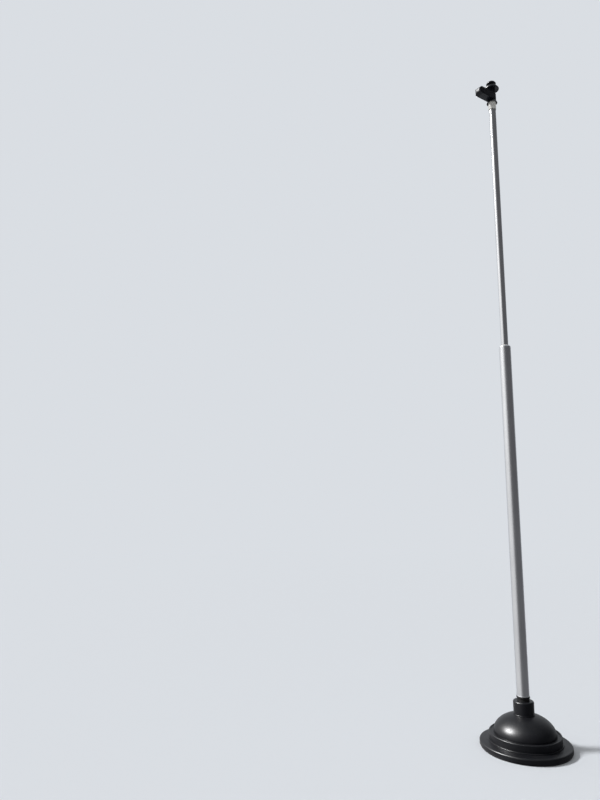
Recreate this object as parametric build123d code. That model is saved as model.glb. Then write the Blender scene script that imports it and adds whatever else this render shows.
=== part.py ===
from build123d import *
import math
import os

# Portable two-section flagpole: a weighted dome base, a telescoping tube mast and a turning head.
# Millimetres, +Z up, origin at the centre of the base on the ground. The head's arm points to -X.
# At rest the mast is drawn out to its stop.

POLE_HEIGHT = 3000.0

# Base shell: a moulded plastic dome on a drum, with a broad brim
DRUM_R = 144.0
DRUM_TOP = 60.5
STEP_OUT = 5.0
STEP_H = 4.0
STEP_ROUND = 2.0
BRIM_OUT = 34.0
BRIM_H = 25.0
BRIM_RISE = 3.0
BRIM_EDGE_ROUND = 6.0
BRIM_TOE_IN = 4.0
BRIM_TOE_H = 8.0
BEAD_ROUND = 3.5
LEDGE_IN = 19.0
LEDGE_DROP = 2.0
DOME_RISE = 78.0
LAND_R = 45.0
SHELL_WALL = 3.5

# Ballast: concrete cast into the shell
BALLAST_RECESS = 2.0

# Collar on the crown of the dome
COLLAR_R = 41.5
COLLAR_H = 54.5
COLLAR_ROUND = 6.0
COLLAR_BEAD_OUT = 2.0
COLLAR_BEAD_H = 4.0
COLLAR_WALL = 4.0

# Foot plug: stands in the ballast and carries the lower tube on a flange
PLUG_DEPTH = 62.0
PLUG_SHOW = 18.5
PLUG_WAIST = 0.8
FLANGE_OUT = 1.7
FLANGE_H = 9.0
SPIGOT_H = 70.0
SPIGOT_WALL = 4.0
SPIGOT_CHAMFER = 2.0

# Lower tube, with a rolled foot lip and a rolled-in shoulder at its mouth
LOWER_R = 25.5
LOWER_WALL = 1.5
LOWER_LENGTH = 1492.0
SHOULDER_FLAT = 0.8
FOOT_LIP_OUT = 0.6
FOOT_LIP_H = 2.2

# Guide bush in the mouth of the lower tube
GUIDE_LENGTH = 60.0
GUIDE_WALL = 1.4
GUIDE_LIP_OUT = 0.7
GUIDE_LIP_H = 3.0

# Upper tube
UPPER_R = 16.0
UPPER_WALL = 1.5

# Tail bush and twist lock on the foot of the upper tube
TAIL_WRAP = 35.0
TAIL_WEB = 5.0
TAIL_STOP_GAP = 1.0
LOCK_LENGTH = 34.0
LOCK_SLACK = 1.2
LOCK_PIN_R = 6.0
LOCK_PIN_UP = 20.0
LOCK_END_R = 19.0
LOCK_END_H = 6.0

# Neck bush on top of the upper tube, with a seal ring under it
NECK_OUT = 1.5
NECK_H = 43.0
NECK_ROUND = 1.5
NECK_SPIGOT_H = 50.0
SEAL_H = 2.5
SEAL_OUT = 0.5

# Swivel pin that the head turns on
PIN_R = 7.0
PIN_DOWN = 30.0
PIN_UP = 40.0
PIN_HEAD_R = 11.0
PIN_HEAD_H = 6.0

# Head, with heights given as drops from the top of the pole
BODY_R = 17.0
BODY_SHOW = 3.0
ARM_TOP_DROP = 66.0
ARM_H = 34.0
ARM_W = 40.0
ARM_ROUND = 4.0
ARM_REACH = 100.0
HEAD_WALL = 3.0
CAP_LENGTH = 17.0
CAP_ROUND = 13.0
CAP_GROOVE_L = 2.0
CAP_GROOVE_D = 1.5
CAP_PLUG_L = 8.0
SKIRT_ROOM = 1.75
SKIRT_FLARE = 4.5
SKIRT_H = 11.0
SKIRT_WALL = 2.5

# Finial: a disk with a domed top, and a mushroom knob on it
DISK_R = 35.0
DISK_RIM_DROP = 42.0
DISK_RIM_T = 4.0
DISK_RIM_IN = 2.5
DISK_TOP_DROP = 23.0
DISK_CROWN = 18.0
DISK_HOLLOW = 4.0
DISK_BOSS_H = 1.0
DISK_PLUG_H = 6.0
KNOB_R = 22.5
KNOB_RIM_DROP = 13.0
KNOB_RIM_T = 3.0
KNOB_STEM_R = 10.0
KNOB_RIM_IN = 2.0
KNOB_CROWN = 11.7
RIM_ROUND = 1.2

# Fits: clearances on the radius or between faces
CAST_GAP = 0.3
SEAT_GAP = 0.1
SLIDE_GAP = 0.3
TURN_GAP = 0.3
PIN_GAP = 0.1

# Radii and heights that follow from the sizes above
STEP_R = DRUM_R + STEP_OUT
BRIM_R = STEP_R + BRIM_OUT
DOME_R = DRUM_R - LEDGE_IN
COLLAR_BEAD_R = COLLAR_R + COLLAR_BEAD_OUT
PLUG_R = LOWER_R - PLUG_WAIST
FLANGE_R = LOWER_R + FLANGE_OUT
LOWER_BORE_R = LOWER_R - LOWER_WALL
UPPER_BORE_R = UPPER_R - UPPER_WALL
MOUTH_R = UPPER_R + SLIDE_GAP + GUIDE_WALL
SHOULDER_ROUND = LOWER_R - MOUTH_R - SHOULDER_FLAT
GUIDE_LIP_R = MOUTH_R + GUIDE_LIP_OUT
NECK_R = UPPER_R + NECK_OUT
SKIRT_TOP_R = NECK_R + SKIRT_ROOM + SKIRT_WALL / 2
SKIRT_R = SKIRT_TOP_R + SKIRT_FLARE
STEP_FOOT = BRIM_H + BRIM_RISE
DOME_FOOT = DRUM_TOP - LEDGE_DROP
LAND_Z = DOME_FOOT + DOME_RISE * math.sqrt(1 - (LAND_R / DOME_R) ** 2)
COLLAR_TOP = LAND_Z + COLLAR_H
LOWER_FOOT = COLLAR_TOP + PLUG_SHOW
LOWER_TOP = LOWER_FOOT + LOWER_LENGTH
GUIDE_FOOT = LOWER_TOP - GUIDE_LENGTH
UPPER_FOOT = GUIDE_FOOT - TAIL_STOP_GAP - TAIL_WRAP
TAIL_FOOT = UPPER_FOOT - TAIL_WEB
LOCK_FOOT = TAIL_FOOT - LOCK_LENGTH
ARM_MID = POLE_HEIGHT - ARM_TOP_DROP - ARM_H / 2
SKIRT_TOP = ARM_MID - ARM_H / 2 - BODY_SHOW
SKIRT_FOOT = SKIRT_TOP - SKIRT_H
NECK_TOP = SKIRT_TOP - SKIRT_WALL - TURN_GAP
NECK_FOOT = NECK_TOP - NECK_H
UPPER_TOP = NECK_FOOT - SEAL_H
PIN_HEAD_FOOT = NECK_TOP + PIN_UP
SEAM_X = ARM_REACH - CAP_LENGTH
DISK_FOOT = POLE_HEIGHT - DISK_RIM_DROP - DISK_RIM_T / 2
BODY_TOP = DISK_FOOT - DISK_BOSS_H
DISK_TOP = POLE_HEIGHT - DISK_TOP_DROP
KNOB_FOOT = POLE_HEIGHT - KNOB_RIM_DROP - KNOB_RIM_T / 2


def turned(corners, rounds=(), crown=0.0):
    """Solid turned about Z from (radius, height) corners, some of them rounded.

    A crown is an elliptical arc that rises from the last corner to the axis.
    """
    outline = Polyline(*corners, close=not crown).edges()
    if crown:
        arc = EllipticalCenterArc((0, corners[-1][1]), corners[-1][0], crown)
        outline += arc.edges() + Line(arc @ 1, corners[0]).edges()
    face = make_face(outline)
    for corner, size in rounds:
        face = fillet(min(face.vertices(), key=lambda v: math.dist((v.X, v.Y), corner)), size)
    return revolve(Plane.XZ * face, Axis.Z)


def rod(radius, low, high):
    """Round bar about Z between two heights."""
    return Pos(0, 0, low) * Cylinder(radius, high - low, align=(Align.CENTER, Align.CENTER, Align.MIN))


def tube(outer, inner, low, high):
    """Round tube about Z between two heights."""
    return rod(outer, low, high) - rod(inner, low, high)


# Base
def base_core(inset):
    """Plain form of the base, smaller than its outside by the inset, without the edge trim."""
    solid = turned(
        [
            (0, 0), (BRIM_R - BRIM_TOE_IN - inset, 0), (BRIM_R - inset, BRIM_TOE_H),
            (BRIM_R - inset, BRIM_H - inset), (DRUM_R - inset, STEP_FOOT - inset),
            (DRUM_R - inset, DOME_FOOT - inset), (DOME_R - inset, DOME_FOOT - inset),
        ],
        crown=DOME_RISE,
    )
    return solid - rod(DOME_R, LAND_Z - inset, LAND_Z + DOME_RISE)


def make_base_shell():
    """Open-bottomed shell: brim, step, drum, ledge and dome, with a hole for the foot plug."""
    outside = turned(
        [
            (0, 0), (BRIM_R - BRIM_TOE_IN, 0), (BRIM_R, BRIM_TOE_H), (BRIM_R, BRIM_H),
            (STEP_R, STEP_FOOT), (STEP_R, STEP_FOOT + STEP_H), (DRUM_R, STEP_FOOT + STEP_H),
            (DRUM_R, DRUM_TOP), (DRUM_R - 2 * BEAD_ROUND, DRUM_TOP),
            (DRUM_R - 2 * BEAD_ROUND, DOME_FOOT), (DOME_R, DOME_FOOT),
        ],
        [
            ((BRIM_R, BRIM_H), BRIM_EDGE_ROUND),
            ((STEP_R, STEP_FOOT + STEP_H), STEP_ROUND),
            ((DRUM_R, DRUM_TOP), BEAD_ROUND),
        ],
        crown=DOME_RISE,
    )
    above_land = rod(DOME_R, LAND_Z, LAND_Z + DOME_RISE)
    plug_hole = rod(PLUG_R + SEAT_GAP, LAND_Z - 2 * SHELL_WALL, LAND_Z)
    return outside - above_land - base_core(SHELL_WALL) - plug_hole


def make_ballast():
    """The shell's filling, short of the ground, with a pocket for the foot plug."""
    pocket = rod(PLUG_R + SEAT_GAP, LAND_Z - PLUG_DEPTH, LAND_Z)
    return base_core(SHELL_WALL + CAST_GAP) - rod(BRIM_R, 0, BALLAST_RECESS) - pocket


def make_collar():
    """Cap-like collar: outer wall, top web and inner sleeve, with a bead round its foot."""
    outside = turned(
        [
            (0, LAND_Z), (COLLAR_BEAD_R, LAND_Z), (COLLAR_BEAD_R, LAND_Z + COLLAR_BEAD_H),
            (COLLAR_R, LAND_Z + COLLAR_BEAD_H), (COLLAR_R, COLLAR_TOP), (0, COLLAR_TOP),
        ],
        [
            ((COLLAR_BEAD_R, LAND_Z + COLLAR_BEAD_H), COLLAR_BEAD_OUT - SEAT_GAP),
            ((COLLAR_R, COLLAR_TOP), COLLAR_ROUND),
        ],
    )
    sleeve_r = PLUG_R + SEAT_GAP
    hollow = tube(COLLAR_R - COLLAR_WALL, sleeve_r + COLLAR_WALL, LAND_Z, COLLAR_TOP - COLLAR_WALL)
    return outside - hollow - rod(sleeve_r, LAND_Z, COLLAR_TOP)


def make_foot_plug():
    """Plug in the ballast, with a flange under the tube and a hollow spigot inside it."""
    spigot_r = LOWER_BORE_R - SEAT_GAP
    flange_foot = LOWER_FOOT - FLANGE_H
    outside = turned(
        [
            (0, LAND_Z - PLUG_DEPTH), (PLUG_R, LAND_Z - PLUG_DEPTH), (PLUG_R, flange_foot),
            (FLANGE_R, flange_foot + FLANGE_R - PLUG_R), (FLANGE_R, LOWER_FOOT),
            (spigot_r, LOWER_FOOT), (spigot_r, LOWER_FOOT + SPIGOT_H - SPIGOT_CHAMFER),
            (spigot_r - SPIGOT_CHAMFER, LOWER_FOOT + SPIGOT_H), (0, LOWER_FOOT + SPIGOT_H),
        ],
        [((FLANGE_R, LOWER_FOOT), FLANGE_OUT - FOOT_LIP_OUT)],
    )
    return outside - rod(spigot_r - SPIGOT_WALL, LAND_Z, LOWER_FOOT + SPIGOT_H)


# Mast
def make_lower_tube():
    outside = turned(
        [
            (0, LOWER_FOOT), (LOWER_R + FOOT_LIP_OUT, LOWER_FOOT),
            (LOWER_R + FOOT_LIP_OUT, LOWER_FOOT + FOOT_LIP_H - FOOT_LIP_OUT),
            (LOWER_R, LOWER_FOOT + FOOT_LIP_H), (LOWER_R, LOWER_TOP), (0, LOWER_TOP),
        ],
        [((LOWER_R, LOWER_TOP), SHOULDER_ROUND)],
    )
    bore_top = LOWER_TOP - LOWER_WALL
    bore = turned(
        [(0, LOWER_FOOT), (LOWER_BORE_R, LOWER_FOOT), (LOWER_BORE_R, bore_top), (0, bore_top)],
        [((LOWER_BORE_R, bore_top), SHOULDER_ROUND - LOWER_WALL)],
    )
    return outside - bore - rod(MOUTH_R, bore_top, LOWER_TOP)


def make_guide_bush():
    """Sleeve under the rolled shoulder, with a lip that shows above the tube's mouth."""
    sleeve_r = LOWER_BORE_R - SEAT_GAP
    sleeve_top = LOWER_TOP - LOWER_WALL - SEAT_GAP
    throat_r = MOUTH_R - SEAT_GAP
    lip_top = LOWER_TOP + GUIDE_LIP_H
    outside = turned(
        [
            (0, GUIDE_FOOT), (sleeve_r, GUIDE_FOOT), (sleeve_r, sleeve_top), (throat_r, sleeve_top),
            (throat_r, LOWER_TOP), (GUIDE_LIP_R, LOWER_TOP), (GUIDE_LIP_R, lip_top), (0, lip_top),
        ],
        [
            ((sleeve_r, sleeve_top), SHOULDER_ROUND - LOWER_WALL),
            ((GUIDE_LIP_R, lip_top), GUIDE_LIP_H / 2),
        ],
    )
    return outside - rod(UPPER_R + SLIDE_GAP, GUIDE_FOOT, lip_top)


def make_upper_tube():
    return tube(UPPER_R, UPPER_BORE_R, UPPER_FOOT, UPPER_TOP)


def make_tail_bush():
    """Cup on the foot of the upper tube that slides in the lower tube and stops under the guide."""
    cup = rod(LOWER_BORE_R - SLIDE_GAP, TAIL_FOOT, UPPER_FOOT + TAIL_WRAP)
    socket = rod(UPPER_R + SEAT_GAP, UPPER_FOOT, UPPER_FOOT + TAIL_WRAP)
    return cup - socket - rod(LOCK_PIN_R + SEAT_GAP, TAIL_FOOT, UPPER_FOOT)


def make_lock_sleeve():
    """Split sleeve that the twist lock spreads against the bore of the lower tube."""
    sleeve_r = LOWER_BORE_R - SLIDE_GAP - LOCK_SLACK
    sleeve = tube(sleeve_r, LOCK_PIN_R + SEAT_GAP, LOCK_FOOT, TAIL_FOOT)
    slit = Box(sleeve_r, 2 * LOCK_SLACK, LOCK_LENGTH, align=(Align.MIN, Align.CENTER, Align.MIN))
    return sleeve - Pos(LOCK_PIN_R, 0, LOCK_FOOT) * slit


def make_lock_pin():
    end_disc = rod(LOCK_END_R, LOCK_FOOT - LOCK_END_H, LOCK_FOOT)
    return rod(LOCK_PIN_R, LOCK_FOOT, UPPER_FOOT + LOCK_PIN_UP) + end_disc


def make_neck_seal():
    return tube(UPPER_R + SEAL_OUT, UPPER_BORE_R, UPPER_TOP, NECK_FOOT)


def make_neck_bush():
    """Pale bush: a spigot in the tube, a collar that shows, and a socket for the swivel pin."""
    spigot_r = UPPER_BORE_R - SEAT_GAP
    outside = turned(
        [
            (0, UPPER_TOP - NECK_SPIGOT_H), (spigot_r, UPPER_TOP - NECK_SPIGOT_H),
            (spigot_r, NECK_FOOT), (NECK_R, NECK_FOOT), (NECK_R, NECK_TOP), (0, NECK_TOP),
        ],
        [((NECK_R, NECK_FOOT), NECK_ROUND), ((NECK_R, NECK_TOP), NECK_ROUND)],
    )
    return outside - rod(PIN_R + SEAT_GAP, NECK_TOP - PIN_DOWN, NECK_TOP)


def make_swivel_pin():
    pin_head = rod(PIN_HEAD_R, PIN_HEAD_FOOT, PIN_HEAD_FOOT + PIN_HEAD_H)
    return rod(PIN_R, NECK_TOP - PIN_DOWN, PIN_HEAD_FOOT) + pin_head


# Head
def arm_bar(start, end, inset=0.0):
    """Length of the arm's rounded section between two distances from the axis."""
    section = RectangleRounded(ARM_W - 2 * inset, ARM_H - 2 * inset, ARM_ROUND)
    return Pos(-end, 0, ARM_MID) * extrude(Plane.YZ * section, end - start)


def arm_nose(plane, width):
    """Bar through the arm's end, rounded at its outer corners in the given plane."""
    length = CAP_LENGTH + CAP_ROUND
    outline = RectangleRounded(length, width, CAP_ROUND)
    return Pos(length / 2 - ARM_REACH, 0, ARM_MID) * extrude(plane * outline, ARM_W, both=True)


def make_head_skirt():
    """Flared bell over the neck, closed above but for the swivel pin."""
    ceiling = SKIRT_TOP - SKIRT_WALL
    outside = turned([(0, SKIRT_FOOT), (SKIRT_R, SKIRT_FOOT), (SKIRT_TOP_R, SKIRT_TOP), (0, SKIRT_TOP)])
    hollow = turned([
        (0, SKIRT_FOOT), (SKIRT_R - SKIRT_WALL, SKIRT_FOOT), (SKIRT_TOP_R - SKIRT_WALL / 2, ceiling),
        (0, ceiling),
    ])
    return outside - hollow - rod(PIN_R + PIN_GAP, ceiling, SKIRT_TOP)


def make_head_housing():
    """Barrel and arm in one moulding: a half-round back, flat sides and a hollow arm."""
    plan = Circle(ARM_W / 2) + Pos(-SEAM_X / 2, 0) * Rectangle(SEAM_X, ARM_W)
    block = Pos(0, 0, ARM_MID - ARM_H / 2) * extrude(plan, ARM_H)
    rims = block.edges().group_by(Axis.Z)[0] + block.edges().group_by(Axis.Z)[-1]
    block = fillet(rims.filter_by(lambda edge: edge.center().X > -SEAM_X + ARM_ROUND), ARM_ROUND)
    well_foot = PIN_HEAD_FOOT - TURN_GAP
    well_r = PIN_HEAD_R + TURN_GAP
    bore = rod(PIN_R + PIN_GAP, SKIRT_TOP, well_foot) + rod(well_r, well_foot, BODY_TOP)
    return block + rod(BODY_R, SKIRT_TOP, BODY_TOP) - bore - arm_bar(well_r + HEAD_WALL, SEAM_X, HEAD_WALL)


def make_arm_cap():
    """Round-nosed cap, set off from the arm by a groove and plugged into its hollow."""
    nose = arm_bar(SEAM_X + CAP_GROOVE_L, ARM_REACH) & arm_nose(Plane.XZ, ARM_H) & arm_nose(Plane.XY, ARM_W)
    groove = arm_bar(SEAM_X, SEAM_X + CAP_GROOVE_L, CAP_GROOVE_D)
    return nose + groove + arm_bar(SEAM_X - CAP_PLUG_L, SEAM_X, HEAD_WALL + SEAT_GAP)


# Finial
def make_finial_disk():
    """Domed disk with a thin rim and a shallow hollow under it, plugged into the barrel."""
    disk = turned(
        [
            (0, DISK_FOOT), (DISK_R, DISK_FOOT), (DISK_R, DISK_FOOT + DISK_RIM_T),
            (DISK_R - DISK_RIM_IN, DISK_FOOT + DISK_RIM_T),
        ],
        [((DISK_R, DISK_FOOT), RIM_ROUND), ((DISK_R, DISK_FOOT + DISK_RIM_T), RIM_ROUND)],
        crown=DISK_CROWN,
    )
    hollow = turned([(0, DISK_FOOT), (DISK_R - DISK_RIM_T, DISK_FOOT)], crown=DISK_HOLLOW)
    boss = rod(BODY_R, BODY_TOP, DISK_FOOT + DISK_RIM_T)
    plug = rod(PIN_HEAD_R, BODY_TOP - DISK_PLUG_H, BODY_TOP)
    return disk - hollow - rod(DISK_R, DISK_TOP, POLE_HEIGHT) + boss + plug


def make_finial_knob():
    """Mushroom knob: a stem on the disk, a thin rim and a low crown with a small flat on top."""
    knob = turned(
        [
            (0, DISK_TOP), (KNOB_STEM_R, DISK_TOP), (KNOB_STEM_R, KNOB_FOOT), (KNOB_R, KNOB_FOOT),
            (KNOB_R, KNOB_FOOT + KNOB_RIM_T), (KNOB_R - KNOB_RIM_IN, KNOB_FOOT + KNOB_RIM_T),
        ],
        [((KNOB_R, KNOB_FOOT), RIM_ROUND), ((KNOB_R, KNOB_FOOT + KNOB_RIM_T), RIM_ROUND)],
        crown=KNOB_CROWN,
    )
    return knob - rod(KNOB_R, POLE_HEIGHT, POLE_HEIGHT + KNOB_CROWN)


NODES = {
    "base_shell": make_base_shell,
    "ballast": make_ballast,
    "collar": make_collar,
    "foot_plug": make_foot_plug,
    "lower_tube": make_lower_tube,
    "guide_bush": make_guide_bush,
    "upper_tube": make_upper_tube,
    "tail_bush": make_tail_bush,
    "lock_sleeve": make_lock_sleeve,
    "lock_pin": make_lock_pin,
    "neck_seal": make_neck_seal,
    "neck_bush": make_neck_bush,
    "swivel_pin": make_swivel_pin,
    "head_skirt": make_head_skirt,
    "head_housing": make_head_housing,
    "arm_cap": make_arm_cap,
    "finial_disk": make_finial_disk,
    "finial_knob": make_finial_knob,
}

os.makedirs("parts", exist_ok=True)
for name, make in NODES.items():
    export_step(make(), f"parts/{name}.step")
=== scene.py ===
"""Looks of a portable telescoping flagpole: its finishes, fine moulding detail and studio stage."""
import math

import bmesh
import bpy
from bpy.props import FloatProperty, FloatVectorProperty, PointerProperty
from mathutils import Matrix, Vector

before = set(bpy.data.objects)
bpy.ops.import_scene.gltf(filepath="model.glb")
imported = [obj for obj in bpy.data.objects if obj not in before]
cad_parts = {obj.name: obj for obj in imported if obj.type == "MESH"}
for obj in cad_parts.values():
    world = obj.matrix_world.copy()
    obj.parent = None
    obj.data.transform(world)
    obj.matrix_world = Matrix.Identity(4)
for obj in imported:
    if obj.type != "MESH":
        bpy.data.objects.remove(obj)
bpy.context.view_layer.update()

bl_info = {
    "name": "Portable flagpole looks",
    "version": (1, 0, 0),
    "blender": (4, 5, 0),
    "location": "3D View > Sidebar > Flagpole",
    "description": "Dresses a telescoping flagpole with a weighted dome base and a turning head",
    "category": "Object",
}

HEAD_PIECES = ("head_skirt", "head_housing", "arm_cap", "finial_disk", "finial_knob")
GLOSSY_PIECES = (
    "base_shell", "collar", "foot_plug", "head_skirt", "head_housing", "finial_disk", "finial_knob",
)
UP = Vector((0.0, 0.0, 1.0))

# Softened shapes, in metres
SKIRT_EDGE = 0.0005
WELD_GAP = 0.00001
SHARP_TURN = math.radians(25.0)
CAP_CELL = 0.0006
CAP_PASSES = 24

# Scales of the textures, as features in a metre
WAVE_SCALE = 22.0
MOTTLE_SCALE = 9.0
CLOUD_SCALE = 14.0
RUB_SCALE = 60.0
PATCH_SCALE = 26.0
SPECK_SCALE = 420.0
CONCRETE_SCALE = 11.0
SAND_SCALE = 700.0
HOLE_SCALE = 95.0
RING_SCALE = 2500.0

# How far a texture is drawn out: a small share along an axis makes long features on it
LINE_STRETCH = (1.0, 1.0, 0.003)
CLOUD_STRETCH = (1.0, 1.0, 0.35)
RUB_STRETCH = (0.25, 0.25, 1.0)
RING_STRETCH = (0.02, 0.02, 1.0)
# Turn in radians of each set of scratches and how far it is drawn out; its tilt is a share of the turn
SCRATCH_SETS = ((0.35, 0.06), (1.4, 0.05), (2.5, 0.08))
SCRATCH_TILT = 0.6

# Plastic: its shine, how much lighter it fades, what scuffs and dust do to it, and the dust's even film
PLASTIC_SPECULAR = 0.22
FADED_SHARE = 1.7
SCUFF_TINT = 0.25
SCUFF_COLOUR = (0.06, 0.06, 0.063, 1.0)
SCUFF_ROUGHNESS = 0.18
DUST_ROUGHNESS = 0.45
FILM_SHARE = 0.45

# Other materials: colours, shares of the main colour, and what marks add to roughness or height
DULL_SHARE = 0.86
STREAK_COLOUR = (0.45, 0.45, 0.47, 1.0)
RUB_ROUGHNESS = 0.08
AGED_SHARES = (0.9, 0.86, 0.78)
DAMP_SHARE = 0.72
SAND_COLOUR = (0.55, 0.52, 0.46, 1.0)
SAND_RELIEF = 0.5
# Painted shade inside the concrete's blow holes
PIT_SHADE_COLOUR = (0.12, 0.115, 0.1, 1.0)
RUBBER_COLOUR = (0.012, 0.012, 0.012, 1.0)
BLOOM_COLOUR = (0.03, 0.03, 0.03, 1.0)
STEEL_COLOUR = (0.5, 0.5, 0.52, 1.0)
RING_COLOUR = (0.62, 0.62, 0.63, 1.0)

# Stage, in metres and shares
WHITE = (1.0, 1.0, 1.0, 1.0)
SHADE_TINT = (1.0, 1.0, 1.06)
WINDOW_TINT = (1.0, 1.0, 1.0)
CEILING_TINT = (0.88, 0.95, 1.0)
FLOOR_RADIUS = 60.0
FLOOR_LIFT = 1.1
FLOOR_DIMMING = 0.22
FLOOR_GLOW_SHARE = 0.9
HAZE_START = 2.5
HAZE_END = 9.0
LAMP_DISTANCE = 5.0

# Colour sockets among all the sockets of a Mix node
MIX_FIRST = 6
MIX_SECOND = 7
MIX_RESULT = 2

# Focal length and height of the photograph, in its pixels
PHOTO_FOCAL = 627.0
PHOTO_HEIGHT = 800.0


# Settings
class FlagpoleFinish(bpy.types.PropertyGroup):
    """Colours and textures of the pole's materials."""

    # Black, with a faint blue tint that is painted reflection of the sky, not the plastic's own colour
    plastic: FloatVectorProperty(
        name="Plastic",
        description="Colour of the black mouldings of the base and head",
        default=(0.0040, 0.0044, 0.0066),
        subtype="COLOR",
        min=0.0,
        max=1.0,
    )
    plug: FloatVectorProperty(
        name="Plug plastic",
        description="Colour of the matt plug under the tube",
        default=(0.005, 0.005, 0.0055),
        subtype="COLOR",
        min=0.0,
        max=1.0,
    )
    lower_metal: FloatVectorProperty(
        name="Lower tube",
        description="Colour of the satin anodised lower tube",
        default=(0.76, 0.77, 0.79),
        subtype="COLOR",
        min=0.0,
        max=1.0,
    )
    upper_metal: FloatVectorProperty(
        name="Upper tube",
        description="Colour of the brighter upper tube",
        default=(0.80, 0.81, 0.83),
        subtype="COLOR",
        min=0.0,
        max=1.0,
    )
    # Off-white nylon, set lighter to match its sunlit look: partly its own colour, partly painted light
    nylon: FloatVectorProperty(
        name="Nylon",
        description="Colour of the white bush in the tube's mouth and of the lock's sleeve",
        default=(0.84, 0.83, 0.81),
        subtype="COLOR",
        min=0.0,
        max=1.0,
    )
    # The same nylon as above, painted darker: painted shade under the head's skirt
    neck: FloatVectorProperty(
        name="Neck",
        description="Colour of the pale bush under the head",
        default=(0.52, 0.51, 0.48),
        subtype="COLOR",
        min=0.0,
        max=1.0,
    )
    concrete: FloatVectorProperty(
        name="Concrete",
        description="Colour of the ballast under the base",
        default=(0.36, 0.35, 0.32),
        subtype="COLOR",
        min=0.0,
        max=1.0,
    )
    dust: FloatVectorProperty(
        name="Dust",
        description="Colour of the dust that has settled on the base",
        default=(0.26, 0.23, 0.18),
        subtype="COLOR",
        min=0.0,
        max=1.0,
    )
    dust_amount: FloatProperty(
        name="Dust amount",
        description="How much dust lies on the base's ledges",
        default=0.04,
        min=0.0,
        max=1.0,
        subtype="FACTOR",
    )


class FlagpoleStage(bpy.types.PropertyGroup):
    """Camera, floor and lights."""

    camera_place: FloatVectorProperty(
        name="Camera place",
        description="Where the camera stands, in metres from the foot of the pole",
        default=(-2.3143, -1.7758, 1.0443),
        subtype="TRANSLATION",
        unit="LENGTH",
    )
    camera_heading: FloatProperty(
        name="Heading",
        description="Direction the camera looks in, turned from +Y towards +X",
        default=math.radians(34.0),
        subtype="ANGLE",
        unit="ROTATION",
    )
    camera_pitch: FloatProperty(
        name="Pitch",
        description="How far the camera looks up",
        default=math.radians(8.41),
        subtype="ANGLE",
        unit="ROTATION",
    )
    camera_roll: FloatProperty(
        name="Roll",
        description="How far the camera leans clockwise",
        default=math.radians(0.21),
        subtype="ANGLE",
        unit="ROTATION",
    )
    focal_share: FloatProperty(
        name="Focal share",
        description="Focal length as a share of the frame's long side",
        default=PHOTO_FOCAL / PHOTO_HEIGHT,
        min=0.1,
    )
    key_strength: FloatProperty(
        name="Key light",
        description="Strength of the soft light from the left",
        default=2.6,
        min=0.0,
    )
    glint_strength: FloatProperty(
        name="Glint",
        description="Extra strength of the key light in highlights alone",
        default=1.8,
        min=0.0,
    )
    gloss_strength: FloatProperty(
        name="Gloss",
        description="Extra strength of the key light in the highlights of the black mouldings",
        default=17.2,
        min=0.0,
    )
    key_turn: FloatProperty(
        name="Key direction",
        description="Direction the key light comes from, turned from +Y towards +X",
        default=math.radians(-52.0),
        subtype="ANGLE",
        unit="ROTATION",
    )
    key_height: FloatProperty(
        name="Key height",
        description="Angle of the key light above the floor",
        default=math.radians(41.0),
        subtype="ANGLE",
        unit="ROTATION",
    )
    key_softness: FloatProperty(
        name="Key softness",
        description="Angle that the key light spans",
        default=math.radians(10.0),
        subtype="ANGLE",
        unit="ROTATION",
    )
    ambient: FloatProperty(
        name="Ambient",
        description="Strength of the even light from all round",
        default=0.36,
        min=0.0,
    )
    backdrop: FloatVectorProperty(
        name="Backdrop",
        description="Colour of the pale backdrop and floor",
        default=(0.70, 0.73, 0.77),
        subtype="COLOR",
        min=0.0,
        max=1.0,
    )
    backdrop_turn: FloatProperty(
        name="Backdrop direction",
        description="Direction in which the backdrop stands, turned from +Y towards +X",
        default=math.radians(34.0),
        subtype="ANGLE",
        unit="ROTATION",
    )
    window_glow: FloatProperty(
        name="Window glow",
        description="Brightness of the left side of the room in reflections",
        default=0.95,
        min=0.0,
    )
    ceiling_glow: FloatProperty(
        name="Ceiling glow",
        description="Brightness of the room's ceiling in reflections",
        default=0.5,
        min=0.0,
    )
    room_shade: FloatProperty(
        name="Room shade",
        description="Brightness of the rest of the room in reflections",
        default=0.11,
        min=0.0,
    )


# Node helpers
def new_group(name, inputs, outputs):
    """Empty shader node group with named float or colour sockets; returns it with its two end nodes."""
    group = bpy.data.node_groups.new(name, "ShaderNodeTree")
    for label, kind, value in inputs:
        socket = group.interface.new_socket(label, in_out="INPUT", socket_type=kind)
        if value is not None:
            socket.default_value = value
    for label, kind in outputs:
        group.interface.new_socket(label, in_out="OUTPUT", socket_type=kind)
    return group, group.nodes.new("NodeGroupInput"), group.nodes.new("NodeGroupOutput")


def add_node(tree, kind, settings=None, **inputs):
    """New node with its properties set and its inputs given as values or as sockets to link from.

    An underscore in an input's keyword stands for the space in its name.
    """
    node = tree.nodes.new(kind)
    for key, value in (settings or {}).items():
        setattr(node, key, value)
    for key, value in inputs.items():
        feed(tree, node.inputs[key.replace("_", " ")], value)
    return node


def feed(tree, socket, value):
    """Links a socket, or sets a plain value."""
    if isinstance(value, bpy.types.NodeSocket):
        tree.links.new(value, socket)
    else:
        socket.default_value = value


def math_node(tree, operation, first, second, clamp=False):
    """Output of a Math node on two values or sockets."""
    node = add_node(tree, "ShaderNodeMath", {"operation": operation, "use_clamp": clamp})
    feed(tree, node.inputs[0], first)
    feed(tree, node.inputs[1], second)
    return node.outputs[0]


def mix_colour(tree, factor, first, second):
    """Colour output of a Mix node."""
    node = add_node(tree, "ShaderNodeMix", {"data_type": "RGBA"})
    feed(tree, node.inputs["Factor"], factor)
    feed(tree, node.inputs[MIX_FIRST], first)
    feed(tree, node.inputs[MIX_SECOND], second)
    return node.outputs[MIX_RESULT]


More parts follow.
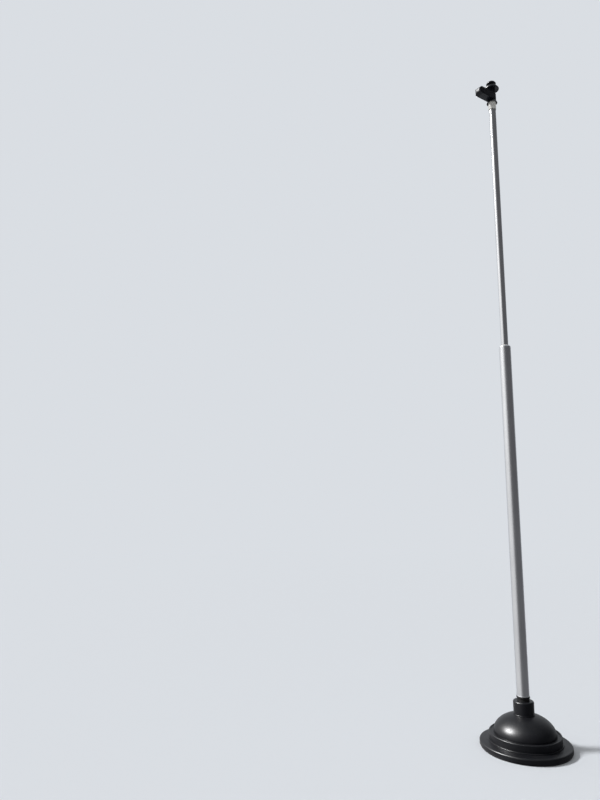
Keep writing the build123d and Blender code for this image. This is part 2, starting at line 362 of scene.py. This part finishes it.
def mix_shader(tree, factor, first, second):
    """Output of a Mix Shader node between two shader nodes."""
    node = add_node(tree, "ShaderNodeMixShader")
    feed(tree, node.inputs[0], factor)
    feed(tree, node.inputs[1], first.outputs[0])
    feed(tree, node.inputs[2], second.outputs[0])
    return node.outputs[0]


def spread(tree, value, low, high, to_low=0.0, to_high=1.0):
    """Clamped linear change of range."""
    node = add_node(tree, "ShaderNodeMapRange")
    feed(tree, node.inputs["Value"], value)
    feed(tree, node.inputs["From Min"], low)
    feed(tree, node.inputs["From Max"], high)
    feed(tree, node.inputs["To Min"], to_low)
    feed(tree, node.inputs["To Max"], to_high)
    return node.outputs[0]


def soft_spread(tree, value, low, high):
    """Clamped change of range from 0 to 1 that eases in and out."""
    factor = spread(tree, value, low, high)
    factor.node.interpolation_type = "SMOOTHSTEP"
    return factor


def noise_at(tree, vector, scale, detail, roughness=0.5):
    """Factor output of a noise texture."""
    node = add_node(
        tree, "ShaderNodeTexNoise", Vector=vector, Scale=scale, Detail=detail, Roughness=roughness
    )
    return node.outputs[0]


def vector_math(tree, operation, output, *vectors):
    """One output of a Vector Math node on one or two vectors or sockets."""
    node = add_node(tree, "ShaderNodeVectorMath", {"operation": operation})
    for socket, vector in zip(node.inputs, vectors):
        feed(tree, socket, vector)
    return node.outputs[output]


def object_place(tree):
    """Coordinates of the piece's own object, in metres."""
    return add_node(tree, "ShaderNodeTexCoord").outputs["Object"]


def stretched(tree, scale):
    """Object coordinates stretched by three factors."""
    return add_node(tree, "ShaderNodeMapping", Vector=object_place(tree), Scale=scale).outputs[0]


def opaque(colour, share=1.0):
    """Colour times a share, with full alpha."""
    return tuple(share * part for part in colour) + (1.0,)


# Shared effects
def build_grain_group():
    """Fine moulded grain: a height from crumpled cells and a soft unevenness."""
    group, start, end = new_group(
        "Moulded Grain",
        [("Cell Size", "NodeSocketFloat", 0.0006), ("Waviness", "NodeSocketFloat", 0.5)],
        [("Height", "NodeSocketFloat"), ("Mottle", "NodeSocketFloat")],
    )
    place = object_place(group)
    frequency = math_node(group, "DIVIDE", 1.0, start.outputs["Cell Size"])
    cells = noise_at(group, place, frequency, detail=2.0, roughness=0.6)
    waves = noise_at(group, place, WAVE_SCALE, detail=2.0)
    lifted = math_node(group, "MULTIPLY", waves, start.outputs["Waviness"])
    feed(group, end.inputs["Height"], math_node(group, "ADD", cells, lifted))
    feed(group, end.inputs["Mottle"], noise_at(group, place, MOTTLE_SCALE, detail=5.0, roughness=0.6))
    return group


def build_drawn_group():
    """Drawn metal: fine lines along the tube, a faint cloudiness and light handling marks round it."""
    group, start, end = new_group(
        "Drawn Metal",
        [("Line Density", "NodeSocketFloat", 900.0)],
        [("Lines", "NodeSocketFloat"), ("Cloud", "NodeSocketFloat"), ("Rubs", "NodeSocketFloat")],
    )
    line_place = stretched(group, LINE_STRETCH)
    lines = noise_at(group, line_place, start.outputs["Line Density"], detail=2.0, roughness=0.7)
    cloud_place = stretched(group, CLOUD_STRETCH)
    cloud = noise_at(group, cloud_place, CLOUD_SCALE, detail=4.0, roughness=0.6)
    rub_place = stretched(group, RUB_STRETCH)
    rubs = noise_at(group, rub_place, RUB_SCALE, detail=6.0, roughness=0.75)
    feed(group, end.inputs["Lines"], lines)
    feed(group, end.inputs["Cloud"], cloud)
    feed(group, end.inputs["Rubs"], spread(group, rubs, 0.62, 0.78))
    return group


def build_dust_group():
    """Settled dust: a mask that gathers on level faces and low down, broken up by patches and specks."""
    group, start, end = new_group(
        "Settled Dust",
        [("Amount", "NodeSocketFloat", 0.4), ("Splash Height", "NodeSocketFloat", 0.05)],
        [("Mask", "NodeSocketFloat")],
    )
    place = object_place(group)
    normal = add_node(group, "ShaderNodeNewGeometry").outputs["Normal"]
    up = add_node(group, "ShaderNodeSeparateXYZ", Vector=normal).outputs[2]
    level = spread(group, up, 0.45, 1.0, to_low=0.12, to_high=1.0)
    height = add_node(group, "ShaderNodeSeparateXYZ", Vector=place).outputs[2]
    share = math_node(group, "DIVIDE", height, start.outputs["Splash Height"])
    low = spread(group, share, 1.0, 0.0, to_low=0.0, to_high=0.8)
    patches = spread(group, noise_at(group, place, PATCH_SCALE, detail=6.0, roughness=0.65), 0.42, 0.72)
    specks = spread(group, noise_at(group, place, SPECK_SCALE, detail=3.0, roughness=0.6), 0.5, 0.75)
    settled = math_node(group, "MULTIPLY", math_node(group, "MAXIMUM", level, low), patches)
    broken = math_node(group, "MULTIPLY", settled, math_node(group, "ADD", FILM_SHARE, specks))
    mask = math_node(group, "MULTIPLY", broken, start.outputs["Amount"], clamp=True)
    feed(group, end.inputs["Mask"], mask)
    return group


def build_scuff_group():
    """Scuffs: thin crossing scratches as a mask."""
    group, start, end = new_group(
        "Scuffs",
        [("Density", "NodeSocketFloat", 70.0)],
        [("Mask", "NodeSocketFloat")],
    )
    place = object_place(group)
    masks = []
    for turn, squeeze in SCRATCH_SETS:
        spun = add_node(group, "ShaderNodeMapping", Vector=place, Rotation=(turn, SCRATCH_TILT * turn, turn))
        drawn = add_node(group, "ShaderNodeMapping", Vector=spun.outputs[0], Scale=(1.0, squeeze, 1.0))
        fine = noise_at(group, drawn.outputs[0], start.outputs["Density"], detail=4.0, roughness=0.7)
        masks.append(spread(group, fine, 0.69, 0.74))
    joined = math_node(group, "MAXIMUM", math_node(group, "MAXIMUM", masks[0], masks[1]), masks[2])
    feed(group, end.inputs["Mask"], joined)
    return group


def effect(tree, name, **inputs):
    """A shared effect placed in a tree; the group is built the first time that it is asked for."""
    group = bpy.data.node_groups.get(name) or GROUP_MAKERS[name]()
    return add_node(tree, "ShaderNodeGroup", {"node_tree": group}, **inputs)


# Materials
def new_material(name):
    """Material with an empty tree, a Principled shader and an output."""
    material = bpy.data.materials.new(name)
    material.use_nodes = True
    tree = material.node_tree
    tree.nodes.clear()
    shader = tree.nodes.new("ShaderNodeBsdfPrincipled")
    output = tree.nodes.new("ShaderNodeOutputMaterial")
    tree.links.new(shader.outputs[0], output.inputs["Surface"])
    return material, tree, shader


def bump(tree, shader, height, strength, distance):
    """Feeds the shader's normal from a height; the distance is in metres."""
    node = add_node(tree, "ShaderNodeBump", Height=height, Strength=strength, Distance=distance)
    tree.links.new(node.outputs[0], shader.inputs["Normal"])


def looks():
    """The settings of the finishes."""
    return bpy.context.scene.flagpole_finish


def moulded_plastic(name, colour, gloss, grain_size, dust_amount, splash):
    """Black moulded plastic with fine grain, uneven gloss, light scuffs and settled dust."""
    material, tree, shader = new_material(name)
    shader.inputs["Specular IOR Level"].default_value = PLASTIC_SPECULAR
    grain = effect(tree, "Moulded Grain", Cell_Size=grain_size, Waviness=0.6)
    dust = effect(tree, "Settled Dust", Amount=dust_amount, Splash_Height=splash).outputs["Mask"]
    scuffs = effect(tree, "Scuffs").outputs["Mask"]
    mottle = grain.outputs["Mottle"]
    faded = tuple(min(1.0, FADED_SHARE * part) for part in colour)
    body = mix_colour(tree, spread(tree, mottle, 0.35, 0.75), opaque(colour), opaque(faded))
    scuff_tint = math_node(tree, "MULTIPLY", scuffs, SCUFF_TINT)
    scuffed = mix_colour(tree, scuff_tint, body, SCUFF_COLOUR)
    feed(tree, shader.inputs["Base Color"], mix_colour(tree, dust, scuffed, opaque(looks().dust)))
    uneven = spread(tree, mottle, 0.3, 0.8, to_low=gloss - 0.04, to_high=gloss + 0.07)
    rubbed = math_node(tree, "ADD", uneven, math_node(tree, "MULTIPLY", scuffs, SCUFF_ROUGHNESS))
    dusty = math_node(tree, "ADD", rubbed, math_node(tree, "MULTIPLY", dust, DUST_ROUGHNESS), clamp=True)
    feed(tree, shader.inputs["Roughness"], dusty)
    bump(tree, shader, grain.outputs["Height"], strength=0.35, distance=0.00012)
    return material


def drawn_aluminium(name, colour, gloss, density):
    """Silver tube with lines drawn along it, a faint cloudiness and rub marks."""
    material, tree, shader = new_material(name)
    drawn = effect(tree, "Drawn Metal", Line_Density=density)
    lines = drawn.outputs["Lines"]
    tone = spread(tree, drawn.outputs["Cloud"], 0.3, 0.7)
    base = mix_colour(tree, tone, opaque(colour), opaque(colour, DULL_SHARE))
    streaks = spread(tree, lines, 0.3, 0.8, to_low=0.0, to_high=0.22)
    feed(tree, shader.inputs["Base Color"], mix_colour(tree, streaks, base, STREAK_COLOUR))
    shader.inputs["Metallic"].default_value = 1.0
    lined = spread(tree, lines, 0.25, 0.75, to_low=gloss - 0.025, to_high=gloss + 0.03)
    rubs = math_node(tree, "MULTIPLY", drawn.outputs["Rubs"], RUB_ROUGHNESS)
    feed(tree, shader.inputs["Roughness"], math_node(tree, "ADD", lined, rubs, clamp=True))
    bump(tree, shader, lines, strength=0.12, distance=0.00005)
    return material


def pale_nylon(name, colour):
    """Natural nylon: a waxy pale plastic with faint mottling and handling grime."""
    material, tree, shader = new_material(name)
    grain = effect(tree, "Moulded Grain", Cell_Size=0.0012, Waviness=0.4)
    mottle = grain.outputs["Mottle"]
    aged = tuple(part * share for part, share in zip(colour, AGED_SHARES))
    tone = spread(tree, mottle, 0.4, 0.75)
    feed(tree, shader.inputs["Base Color"], mix_colour(tree, tone, opaque(colour), opaque(aged)))
    feed(tree, shader.inputs["Roughness"], spread(tree, mottle, 0.3, 0.7, to_low=0.38, to_high=0.5))
    shader.inputs["Subsurface Weight"].default_value = 0.12
    shader.inputs["Subsurface Radius"].default_value = (0.004, 0.004, 0.003)
    bump(tree, shader, grain.outputs["Height"], strength=0.1, distance=0.00005)
    return material


def cast_concrete():
    """Trowelled concrete with sand and blow holes."""
    material, tree, shader = new_material("cast_concrete")
    colour = looks().concrete
    place = object_place(tree)
    patches = spread(tree, noise_at(tree, place, CONCRETE_SCALE, detail=6.0, roughness=0.6), 0.3, 0.7)
    sand = noise_at(tree, place, SAND_SCALE, detail=4.0, roughness=0.7)
    holes = add_node(tree, "ShaderNodeTexVoronoi", Vector=place, Scale=HOLE_SCALE).outputs["Distance"]
    pits = spread(tree, holes, 0.05, 0.16)
    base = mix_colour(tree, patches, opaque(colour), opaque(colour, DAMP_SHARE))
    sand_tint = spread(tree, sand, 0.35, 0.7, to_low=0.0, to_high=0.4)
    sandy = mix_colour(tree, sand_tint, base, SAND_COLOUR)
    # The blow holes are painted dark: painted shade inside them
    feed(tree, shader.inputs["Base Color"], mix_colour(tree, pits, PIT_SHADE_COLOUR, sandy))
    feed(tree, shader.inputs["Roughness"], spread(tree, sand, 0.3, 0.7, to_low=0.85, to_high=0.95))
    relief = math_node(tree, "ADD", math_node(tree, "MULTIPLY", sand, SAND_RELIEF), pits)
    bump(tree, shader, relief, strength=0.7, distance=0.0008)
    return material


def seal_rubber():
    """Dull black rubber with a fine bloom."""
    material, tree, shader = new_material("seal_rubber")
    grain = effect(tree, "Moulded Grain", Cell_Size=0.0008, Waviness=0.3)
    bloom = spread(tree, grain.outputs["Mottle"], 0.4, 0.8)
    feed(tree, shader.inputs["Base Color"], mix_colour(tree, bloom, RUBBER_COLOUR, BLOOM_COLOUR))
    feed(tree, shader.inputs["Roughness"], spread(tree, bloom, 0.0, 1.0, to_low=0.55, to_high=0.75))
    bump(tree, shader, grain.outputs["Height"], strength=0.3, distance=0.0001)
    return material


def turned_steel():
    """Turned steel pin with fine rings round it."""
    material, tree, shader = new_material("turned_steel")
    rings = noise_at(tree, stretched(tree, RING_STRETCH), RING_SCALE, detail=2.0, roughness=0.6)
    tone = spread(tree, rings, 0.3, 0.7)
    feed(tree, shader.inputs["Base Color"], mix_colour(tree, tone, STEEL_COLOUR, RING_COLOUR))
    shader.inputs["Metallic"].default_value = 1.0
    feed(tree, shader.inputs["Roughness"], spread(tree, tone, 0.0, 1.0, to_low=0.24, to_high=0.38))
    bump(tree, shader, rings, strength=0.2, distance=0.00005)
    return material


# Pieces
def dress(node, material):
    """Gives a CAD node its material."""
    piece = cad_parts[node]
    piece.data.materials.clear()
    piece.data.materials.append(material)


def ease_edges(node, width):
    """Rounds the sharp edges of a CAD node by a width."""
    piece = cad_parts[node]
    weld = piece.modifiers.new("weld", "WELD")
    weld.merge_threshold = WELD_GAP
    bevel = piece.modifiers.new("soft edges", "BEVEL")
    bevel.width = width
    bevel.segments = 3
    bevel.limit_method = "ANGLE"
    bevel.angle_limit = SHARP_TURN
    bevel.harden_normals = True


def soften(node, cell, passes):
    """Evens out the mesh of a CAD node and melts its hips and corners into one another."""
    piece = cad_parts[node]
    even = piece.modifiers.new("even mesh", "REMESH")
    even.mode = "VOXEL"
    even.voxel_size = cell
    even.use_smooth_shade = True
    melt = piece.modifiers.new("melted corners", "SMOOTH")
    melt.factor = 0.5
    melt.iterations = passes


class FLAGPOLE_OT_base(bpy.types.Operator):
    """Dress the base shell, its ballast and the collar on its crown"""

    bl_idname = "flagpole.base"
    bl_label = "Base"

    def execute(self, context):
        colour, amount = looks().plastic, looks().dust_amount
        shell = moulded_plastic(
            "base_plastic", colour, gloss=0.40, grain_size=0.0007, dust_amount=amount, splash=0.04
        )
        collar = moulded_plastic(
            "collar_plastic", colour, gloss=0.38, grain_size=0.0006, dust_amount=0.6 * amount, splash=0.01
        )
        dress("base_shell", shell)
        dress("collar", collar)
        dress("ballast", cast_concrete())
        return {"FINISHED"}


class FLAGPOLE_OT_foot_plug(bpy.types.Operator):
    """Dress the plug between the collar and the lower tube"""

    bl_idname = "flagpole.foot_plug"
    bl_label = "Foot plug"

    def execute(self, context):
        plastic = moulded_plastic(
            "plug_plastic", looks().plug, gloss=0.5, grain_size=0.0006, dust_amount=0.03, splash=0.01
        )
        dress("foot_plug", plastic)
        return {"FINISHED"}


class FLAGPOLE_OT_tubes(bpy.types.Operator):
    """Dress the two telescoping tubes"""

    bl_idname = "flagpole.tubes"
    bl_label = "Tubes"

    def execute(self, context):
        satin = drawn_aluminium("satin_aluminium", looks().lower_metal, gloss=0.34, density=900.0)
        bright = drawn_aluminium("bright_aluminium", looks().upper_metal, gloss=0.22, density=1300.0)
        dress("lower_tube", satin)
        dress("upper_tube", bright)
        return {"FINISHED"}


class FLAGPOLE_OT_bushes(bpy.types.Operator):
    """Dress the pale bushes, the seal and the pin"""

    bl_idname = "flagpole.bushes"
    bl_label = "Bushes, seal and pin"

    def execute(self, context):
        nylon = pale_nylon("white_nylon", looks().nylon)
        dress("guide_bush", nylon)
        dress("lock_sleeve", nylon)
        # The neck's bush gets the darker copy of the nylon, as painted shade under the skirt
        dress("neck_bush", pale_nylon("pale_nylon", looks().neck))
        dress("neck_seal", seal_rubber())
        dress("swivel_pin", turned_steel())
        return {"FINISHED"}


class FLAGPOLE_OT_lock(bpy.types.Operator):
    """Dress the tail bush and the lock's pin inside the lower tube"""

    bl_idname = "flagpole.lock"
    bl_label = "Tail bush and lock"

    def execute(self, context):
        plastic = moulded_plastic(
            "lock_plastic", looks().plug, gloss=0.45, grain_size=0.0006, dust_amount=0.0, splash=0.01
        )
        for node in ("tail_bush", "lock_pin"):
            dress(node, plastic)
        return {"FINISHED"}


class FLAGPOLE_OT_head(bpy.types.Operator):
    """Dress the skirt, the housing, its cap and the finial"""

    bl_idname = "flagpole.head"
    bl_label = "Head"

    def execute(self, context):
        plastic = moulded_plastic(
            "head_plastic", looks().plastic, gloss=0.32, grain_size=0.0005, dust_amount=0.02, splash=0.01
        )
        for node in HEAD_PIECES:
            dress(node, plastic)
        ease_edges("head_skirt", SKIRT_EDGE)
        soften("arm_cap", CAP_CELL, CAP_PASSES)
        return {"FINISHED"}


# Stage
def level_direction(turn):
    """Level unit vector turned from +Y towards +X."""
    return Vector((math.sin(turn), math.cos(turn), 0.0))


def raised_direction(turn, height):
    """Unit vector turned from +Y towards +X and raised above level."""
    return level_direction(turn) * math.cos(height) + Vector((0.0, 0.0, math.sin(height)))


def soft_sun(name, turn, height, softness, strength, shines_only=False, pieces=()):
    """Even parallel light with soft shadows, on all or on some pieces.

    One that shines only gives just highlights.
    """
    data = bpy.data.lights.new(name, "SUN")
    data.energy = strength
    data.angle = softness
    lamp = bpy.data.objects.new(name, data)
    lamp.visible_diffuse = not shines_only
    bpy.context.scene.collection.objects.link(lamp)
    if pieces:
        lit = bpy.data.collections.new(f"{name} receivers")
        for node in pieces:
            lit.objects.link(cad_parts[node])
        lamp.light_linking.receiver_collection = lit
    source = raised_direction(turn, height)
    lamp.location = LAMP_DISTANCE * source
    lamp.rotation_mode = "QUATERNION"
    lamp.rotation_quaternion = (-source).to_track_quat("-Z", "Y")


def make_camera(settings):
    """Camera at the photograph's viewing angle."""
    data = bpy.data.cameras.new("camera")
    data.sensor_fit = "AUTO"
    data.lens = data.sensor_width * settings.focal_share
    camera = bpy.data.objects.new("camera", data)
    bpy.context.scene.collection.objects.link(camera)
    forward = raised_direction(settings.camera_heading, settings.camera_pitch)
    right = level_direction(settings.camera_heading).cross(UP)
    up = right.cross(forward)
    roll = settings.camera_roll
    leaned_right = right * math.cos(roll) - up * math.sin(roll)
    leaned_up = up * math.cos(roll) + right * math.sin(roll)
    turn = Matrix((leaned_right, leaned_up, -forward)).transposed()
    camera.matrix_world = Matrix.Translation(settings.camera_place) @ turn.to_4x4()
    bpy.context.scene.camera = camera


def facing(tree, ray, direction, low, high):
    """How far a ray points in a direction, as a soft factor."""
    return soft_spread(tree, vector_math(tree, "DOT_PRODUCT", "Value", ray, direction), low, high)


def build_room_group():
    """The room in reflections: pale backdrop ahead, bright window side on the left, lit ceiling, dim rest."""
    settings = bpy.context.scene.flagpole_stage
    group, start, end = new_group(
        "Studio Room",
        [("Direction", "NodeSocketVector", None)],
        [("Colour", "NodeSocketColor")],
    )
    ray = start.outputs["Direction"]
    ahead = level_direction(settings.backdrop_turn)
    left = Vector((-ahead.y, ahead.x, 0.0))
    dim = opaque(SHADE_TINT, settings.room_shade)
    window = opaque(WINDOW_TINT, settings.window_glow)
    ceiling = opaque(CEILING_TINT, settings.ceiling_glow)
    room = mix_colour(group, facing(group, ray, ahead, 0.1, 0.8), dim, opaque(settings.backdrop))
    sides = mix_colour(group, facing(group, ray, left, 0.45, 0.85), room, window)
    whole = mix_colour(group, facing(group, ray, UP, 0.6, 0.85), sides, ceiling)
    feed(group, end.inputs["Colour"], whole)
    return group


def studio_world(settings):
    """Surroundings that light evenly from all round, and show the backdrop or, mirrored, the room."""
    world = bpy.data.worlds.new("studio")
    bpy.context.scene.world = world
    world.use_nodes = True
    tree = world.node_tree
    tree.nodes.clear()
    output = tree.nodes.new("ShaderNodeOutputWorld")
    path = tree.nodes.new("ShaderNodeLightPath")
    ray = add_node(tree, "ShaderNodeTexCoord").outputs["Generated"]
    room = effect(tree, "Studio Room", Direction=ray).outputs["Colour"]
    seen = mix_colour(tree, path.outputs["Is Camera Ray"], room, opaque(settings.backdrop))
    shown = add_node(tree, "ShaderNodeBackground", Color=seen, Strength=1.0)
    even = add_node(tree, "ShaderNodeBackground", Color=WHITE, Strength=settings.ambient)
    straight = math_node(
        tree, "MAXIMUM", path.outputs["Is Camera Ray"], path.outputs["Is Transmission Ray"]
    )
    direct = math_node(tree, "MAXIMUM", straight, path.outputs["Is Glossy Ray"])
    tree.links.new(mix_shader(tree, direct, even, shown), output.inputs["Surface"])


def floor_paint(settings):
    """Pale paint that melts into the backdrop far out; to glossy rays it glows with a somewhat dimmer room, a
    painted reflection.
    """
    material, tree, shader = new_material("floor_paint")
    shader.inputs["Base Color"].default_value = opaque(settings.backdrop, FLOOR_LIFT)
    shader.inputs["Roughness"].default_value = 0.9
    shader.inputs["Specular IOR Level"].default_value = 0.1
    place = object_place(tree)
    far = soft_spread(tree, vector_math(tree, "LENGTH", "Value", place), HAZE_START, HAZE_END)
    path = tree.nodes.new("ShaderNodeLightPath")
    # Painted reflection: the floor glows with the room's colours, dim on the side away from the backdrop
    outward = vector_math(tree, "NORMALIZE", "Vector", place)
    room = effect(tree, "Studio Room", Direction=outward).outputs["Colour"]
    melted = mix_colour(tree, path.outputs["Is Camera Ray"], room, opaque(settings.backdrop))
    dimming = math_node(tree, "MULTIPLY", path.outputs["Is Glossy Ray"], FLOOR_DIMMING)
    strength = math_node(tree, "SUBTRACT", 1.0, dimming)
    backdrop_and_room_glow = add_node(tree, "ShaderNodeEmission", Color=melted, Strength=strength)
    distant = math_node(tree, "MULTIPLY", far, path.outputs["Is Camera Ray"])
    mirrored = math_node(tree, "MULTIPLY", path.outputs["Is Glossy Ray"], FLOOR_GLOW_SHARE)
    painted = mix_shader(tree, math_node(tree, "MAXIMUM", distant, mirrored), shader, backdrop_and_room_glow)
    output = next(node for node in tree.nodes if node.bl_idname == "ShaderNodeOutputMaterial")
    tree.links.new(painted, output.inputs["Surface"])
    return material


def make_floor(settings):
    """Wide round floor under the pole."""
    mesh = bpy.data.meshes.new("floor")
    builder = bmesh.new()
    bmesh.ops.create_circle(builder, cap_ends=True, radius=FLOOR_RADIUS, segments=96)
    builder.to_mesh(mesh)
    builder.free()
    floor = bpy.data.objects.new("floor", mesh)
    bpy.context.scene.collection.objects.link(floor)
    mesh.materials.append(floor_paint(settings))


class FLAGPOLE_OT_stage(bpy.types.Operator):
    """Set up the floor, the lights, the surroundings and the camera"""

    bl_idname = "flagpole.stage"
    bl_label = "Stage"

    def execute(self, context):
        settings = context.scene.flagpole_stage
        context.scene.view_settings.view_transform = "Standard"
        aim = (settings.key_turn, settings.key_height, settings.key_softness)
        soft_sun("key", *aim, settings.key_strength)
        soft_sun("glint", *aim, settings.glint_strength, shines_only=True)
        soft_sun("gloss", *aim, settings.gloss_strength, shines_only=True, pieces=GLOSSY_PIECES)
        studio_world(settings)
        make_floor(settings)
        make_camera(settings)
        return {"FINISHED"}


GROUP_MAKERS = {
    "Moulded Grain": build_grain_group,
    "Drawn Metal": build_drawn_group,
    "Settled Dust": build_dust_group,
    "Scuffs": build_scuff_group,
    "Studio Room": build_room_group,
}


class FLAGPOLE_PT_panel(bpy.types.Panel):
    """Sidebar panel that lists the pole's pieces and settings"""

    bl_label = "Flagpole"
    bl_idname = "FLAGPOLE_PT_panel"
    bl_space_type = "VIEW_3D"
    bl_region_type = "UI"
    bl_category = "Flagpole"

    def draw(self, context):
        layout = self.layout
        for settings in (context.scene.flagpole_finish, context.scene.flagpole_stage):
            column = layout.column(align=True)
            for name in settings.bl_rna.properties.keys():
                if name not in ("rna_type", "name"):
                    column.prop(settings, name)
        for operator in OPERATORS:
            layout.operator(operator.bl_idname)


OPERATORS = (
    FLAGPOLE_OT_base,
    FLAGPOLE_OT_foot_plug,
    FLAGPOLE_OT_tubes,
    FLAGPOLE_OT_bushes,
    FLAGPOLE_OT_lock,
    FLAGPOLE_OT_head,
    FLAGPOLE_OT_stage,
)
CLASSES = (FlagpoleFinish, FlagpoleStage, *OPERATORS, FLAGPOLE_PT_panel)


def register():
    """Adds the settings, the operators and the panel."""
    for kind in CLASSES:
        bpy.utils.register_class(kind)
    bpy.types.Scene.flagpole_finish = PointerProperty(type=FlagpoleFinish)
    bpy.types.Scene.flagpole_stage = PointerProperty(type=FlagpoleStage)


def unregister():
    """Takes away what register added."""
    del bpy.types.Scene.flagpole_stage
    del bpy.types.Scene.flagpole_finish
    for kind in reversed(CLASSES):
        bpy.utils.unregister_class(kind)


def main():
    """Dresses every piece and sets the stage."""
    register()
    bpy.ops.flagpole.base()
    bpy.ops.flagpole.foot_plug()
    bpy.ops.flagpole.tubes()
    bpy.ops.flagpole.bushes()
    bpy.ops.flagpole.lock()
    bpy.ops.flagpole.head()
    bpy.ops.flagpole.stage()


if __name__ == "__main__":
    main()
